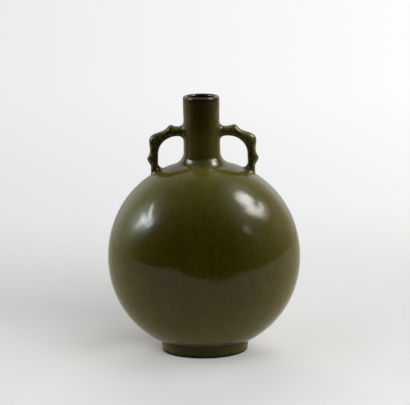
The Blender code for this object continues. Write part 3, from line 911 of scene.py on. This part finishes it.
class Sky(Graph):
    """Adds the world's nodes: soft oval glows for the glaze to mirror, and the backdrop for the camera."""

    def __init__(self, tree):
        super().__init__(tree)
        self.direction = self.add("TexCoord").outputs["Generated"]
        self.rays = self.add("LightPath").outputs

    def vector(self, operation, *values):
        node = self.add("VectorMath", *values)
        node.operation = operation
        return node

    def dot(self, vector):
        return self.vector("DOT_PRODUCT", self.direction, vector).outputs["Value"]

    def scaled(self, vector, share):
        node = self.vector("SCALE", vector)
        self.feed(share, node.inputs["Scale"])
        return node.outputs["Vector"]

    def glow(self, azimuth, elevation, along, across, spin, radiance, crispness, colour):
        """An oval that falls off from its middle as a bell curve, with a flatter top where it is crisp."""
        middle = toward(azimuth, elevation)
        east = Vector((math.cos(math.radians(azimuth)), math.sin(math.radians(azimuth)), 0.0))
        turn = Matrix.Rotation(math.radians(spin), 3, middle)
        u = self.dot(turn @ east / math.radians(along))
        v = self.dot(turn @ east.cross(middle) / math.radians(across))
        square = self.math("ADD", self.math("MULTIPLY", u, u), self.math("MULTIPLY", v, v))
        bell = self.math("EXPONENT", self.math("MULTIPLY", self.math("POWER", square, crispness), -0.5))
        facing = self.math("GREATER_THAN", self.dot(middle), 0.0)
        return self.scaled(Vector(colour) * radiance, self.math("MULTIPLY", bell, facing))

    def backdrop(self):
        """Brightness of the backdrop, which changes from left to right and low down."""
        split = self.add("SeparateXYZ", self.direction).outputs
        side = self.ramp(split["X"], BACKDROP_SIDES, *BACKDROP, smooth=False)
        low = self.ramp(split["Z"], BACKDROP_HEIGHTS, BACKDROP_FOOT, 1.0, smooth=False)
        return self.math("MULTIPLY", side, low)


def world():
    """Pale all round for the camera, and a sum of soft glows for the rays that mirror."""
    shell = bpy.data.worlds.new("studio")
    bpy.context.scene.world = shell
    shell.use_nodes = True
    sky = Sky(shell.node_tree)
    total = Vector((0.0, 0.0, 0.0))
    for _, *numbers in GLOWS:
        total = sky.vector("ADD", total, sky.glow(*numbers)).outputs["Vector"]
    mirrored = sky.scaled(total, sky.rays["Is Glossy Ray"])
    shown = sky.math("MULTIPLY", sky.backdrop(), sky.rays["Is Camera Ray"])
    background = sky.tree.nodes["Background"]
    sky.feed(sky.vector("ADD", mirrored, shown).outputs["Vector"], background.inputs["Color"])
    background.inputs["Strength"].default_value = 1.0


# The camera, matched to the photograph: lengths in pixels, sensor in millimetres, turns in degrees
IMAGE_WIDTH_PX = 410.0
FOCAL_LENGTH_PX = 2005.76
SENSOR_WIDTH = 36.0
CAMERA_PLACE = (0.0018, -2.2812, 0.6246)
CAMERA_PITCH = 11.147
CAMERA_ROLL = 0.68
CAMERA_SIGHT = 60.0


def camera():
    data = bpy.data.cameras.new("camera")
    data.sensor_width = SENSOR_WIDTH
    data.lens = FOCAL_LENGTH_PX * SENSOR_WIDTH / IMAGE_WIDTH_PX
    data.clip_end = CAMERA_SIGHT
    obj = bpy.data.objects.new("camera", data)
    pitch, roll = math.radians(CAMERA_PITCH), math.radians(CAMERA_ROLL)
    turn = Matrix.Rotation(math.pi / 2 - pitch, 4, "X") @ Matrix.Rotation(-roll, 4, "Z")
    obj.matrix_world = Matrix.Translation(CAMERA_PLACE) @ turn
    bpy.context.scene.collection.objects.link(obj)
    bpy.context.scene.camera = obj


def dress(obj, material, slot, *nodes):
    """Gives a piece its material, and says what it rides and replaces. slot is not used."""
    obj.data.materials.append(material)
    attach(obj, "root")
    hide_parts(*nodes)
    return obj


def build():
    camera()
    flask = dress(flask_skin(), glaze("tea_dust_glaze_body"), "body_front", "body_front", "body_back", "neck")
    # The left strap's glaze is the shaded copy and the right strap's the lit copy, as painted shade and light
    left_glaze = glaze("tea_dust_glaze_handle_left", STRAP_TONES_SHADED_LEFT)
    left = dress(handle("handle_left_glazed", -1), left_glaze, "handle_left", "handle_left")
    right_glaze = glaze("tea_dust_glaze_handle_right", STRAP_TONES_LIT_RIGHT)
    right = dress(handle("handle_right_glazed", 1), right_glaze, "handle_right", "handle_right")
    ring = dress(foot(), foot_glaze(), "foot_ring", "foot_ring")
    gather("lit_as_flask", (flask, left, right, ring))
    floor()
    world()
    for row in LAMPS:
        lamp(*row)
    bpy.context.scene.view_settings.view_transform = "Standard"


build()
